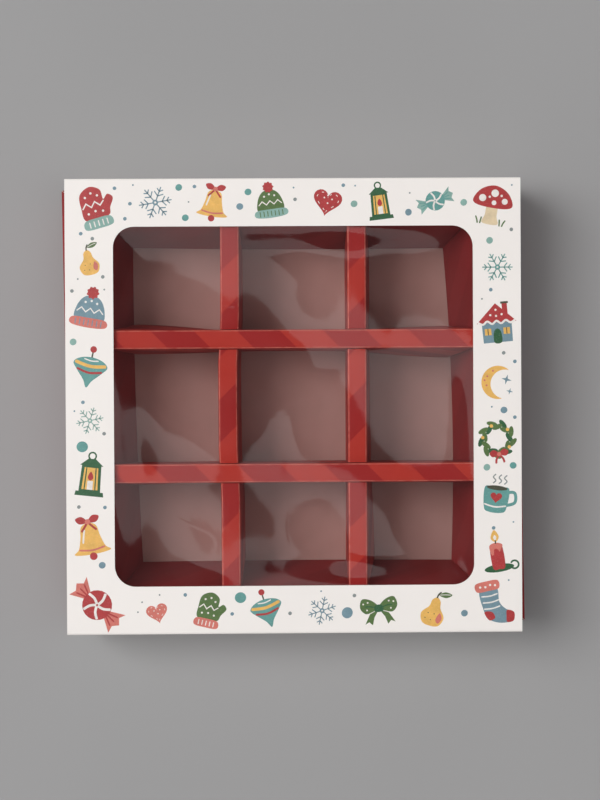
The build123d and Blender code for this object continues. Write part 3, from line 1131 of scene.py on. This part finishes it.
def make_print():
    """Winter motifs and dots on the top, back and front panels of the sleeve."""
    half_x = sleeve_high.x / mm
    half_y = sleeve_high.y / mm
    half_height = panel_top / mm / 2
    top = Matrix.Translation((0.0, 0.0, panel_top))
    front = Matrix.Translation((0.0, sleeve_low.y, panel_top / 2)) @ Matrix.Rotation(math.pi / 2, 4, "X")
    back = Matrix.Rotation(math.pi, 4, "Z") @ front
    for panel, motifs in ((top, frame_motifs), (front, side_motifs), (back, side_motifs)):
        for motif, x, y, turn, size, *colours in motifs:
            motif(Pen(panel, x, y, turn, size), *colours)
    scatter_dots(top, frame_motifs, half_x, half_y, window_half / mm, seed=3)
    scatter_dots(front, side_motifs, half_x, half_height, 0.0, seed=5, density=0.6)
    scatter_dots(back, side_motifs, half_x, half_height, 0.0, seed=8, density=0.6)
    for ink, code in inks.items():
        mesh = bpy.data.meshes.new("print_" + ink)
        Pen.meshes[ink].to_mesh(mesh)
        Pen.meshes[ink].free()
        mesh.materials.append(make_ink(ink, srgb(code)))
        piece = add_object("print_" + ink, mesh)
        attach(piece, "sleeve")


# Stage, light and camera

floor_reach = 3.0
floor_drop = 0.05 * mm

# Place, aim, width, length and brightness of each lamp
lamps = {
    "key_left": ((-1.35, 0.42, 2.10), (0.0, 0.0, panel_top), 1.2, 1.35, 7.7),
    "fill_back": ((0.30, 1.60, 0.45), (0.0, 0.0, 0.0), 1.4, 0.7, 1.45),
    "fill_front": ((0.30, -1.60, 0.45), (0.0, 0.0, 0.0), 1.4, 0.7, 1.45),
}

# Bands of light overhead: offset along a turned X axis, width and brightness of each
bands = ((-0.416, 0.166, 3.35), (-0.146, 0.107, 3.35), (0.104, 0.117, 3.45), (0.364, 0.176, 3.2))
band_spin = math.radians(53)
band_length = 1.3
band_height = 1.45
mirrored_share = 0.18

room_side = (0.52, 0.52, 0.53, 1.0)
room_overhead = (0.03, 0.03, 0.035, 1.0)
room_dims_from = 0.30
room_dark_above = 0.85
room_left = 1.28
room_right = 0.22

camera_place = (-0.00797, 0.00738, 0.655)
camera_degrees = (-0.493, -0.926, -0.320)
camera_lens = 83.65


def softbox(name, place, aim, width, length, radiance, spin=0.0):
    """Soft rectangular lamp whose face has this brightness, where 1 renders as white."""
    light = bpy.data.lights.new(name, "AREA")
    light.shape = "RECTANGLE"
    light.size = width
    light.size_y = length
    light.energy = radiance * math.pi * width * length
    lamp = add_object(name, light)
    turn = (Vector(aim) - Vector(place)).to_track_quat("-Z", "Y").to_matrix()
    lamp.matrix_world = Matrix.Translation(place) @ (turn @ Matrix.Rotation(spin, 3, "Z")).to_4x4()
    return lamp


def make_stage():
    """Plain pale floor just below the object."""
    mesh = bpy.data.meshes.new("floor")
    corners = [(-1, -1), (1, -1), (1, 1), (-1, 1)]
    places = [(x * floor_reach, y * floor_reach, -floor_drop) for x, y in corners]
    mesh.from_pydata(places, [], [(0, 1, 2, 3)])
    mesh.materials.append(make_floor_material())
    floor = add_object("floor", mesh)


def make_room():
    """Dim surroundings, darkest overhead, and brighter on the left than on the right."""
    room = Graph("room", is_world=True)
    direction = room.parts(room.coordinates["Generated"])
    rise = room.stretch(direction[2], room_dims_from, room_dark_above)
    shade = room.mix(rise, room_side, room_overhead)
    strength = room.stretch(direction[0], -1.0, 1.0, room_left, room_right)
    background = room.add("Background", {"Color": shade, "Strength": strength}).outputs[0]
    bpy.context.scene.world = room.finish(background)


def make_lights():
    """A soft lamp from the left, two fills and bands overhead, which mirrors show more dimly."""
    for name, settings in lamps.items():
        softbox(name, *settings)
    for index, (offset, width, radiance) in enumerate(bands):
        x = offset * math.cos(band_spin)
        y = offset * math.sin(band_spin)
        for name, share in (("overhead", mirrored_share), ("soft", 1 - mirrored_share)):
            size = (width, band_length, share * radiance)
            lamp = softbox(f"{name}_{index}", (x, y, band_height), (x, y, 0.0), *size, band_spin)
            lamp.visible_glossy = name == "overhead"


def make_camera():
    """Camera above the box, a little off its middle and barely tilted."""
    data = bpy.data.cameras.new("camera")
    data.lens = camera_lens
    camera = add_object("camera", data)
    camera.location = camera_place
    camera.rotation_euler = [math.radians(angle) for angle in camera_degrees]
    bpy.context.scene.camera = camera


# Assembly

make_camera()
make_stage()
make_room()
make_lights()
bpy.context.scene.view_settings.view_transform = "Standard"

grey_board = make_grey_board()
cut_edge = make_cut_edge()
sleeve_material = make_sleeve_material()
glue_material = make_glue_material()
# The tray's print colours are darkened to paint in the shade on its inner walls
shaded_tray_print = make_striped_board("striped_tray_board_painted_shade", tray_light_red_with_painted_shade, tray_red_with_painted_shade, 0.0)
strip_fold = strip_width / 2 - fold_radius
row_print, column_print = [
    make_striped_board(f"striped_{way}_board", light_red, dark_red, start, strip_fold)
    for way, start in (("row", row_stripe_start), ("column", column_stripe_start))
]

for node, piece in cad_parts.items():
    material = glue_material if node.endswith("glue") else sleeve_material
    piece.data.materials.clear()
    piece.data.materials.append(material)

make_tray([shaded_tray_print, grey_board, cut_edge])
for strip in strips:
    make_strip(strip, [row_print if strip.is_row else column_print, grey_board, cut_edge])
make_film(make_film_material())
make_print()
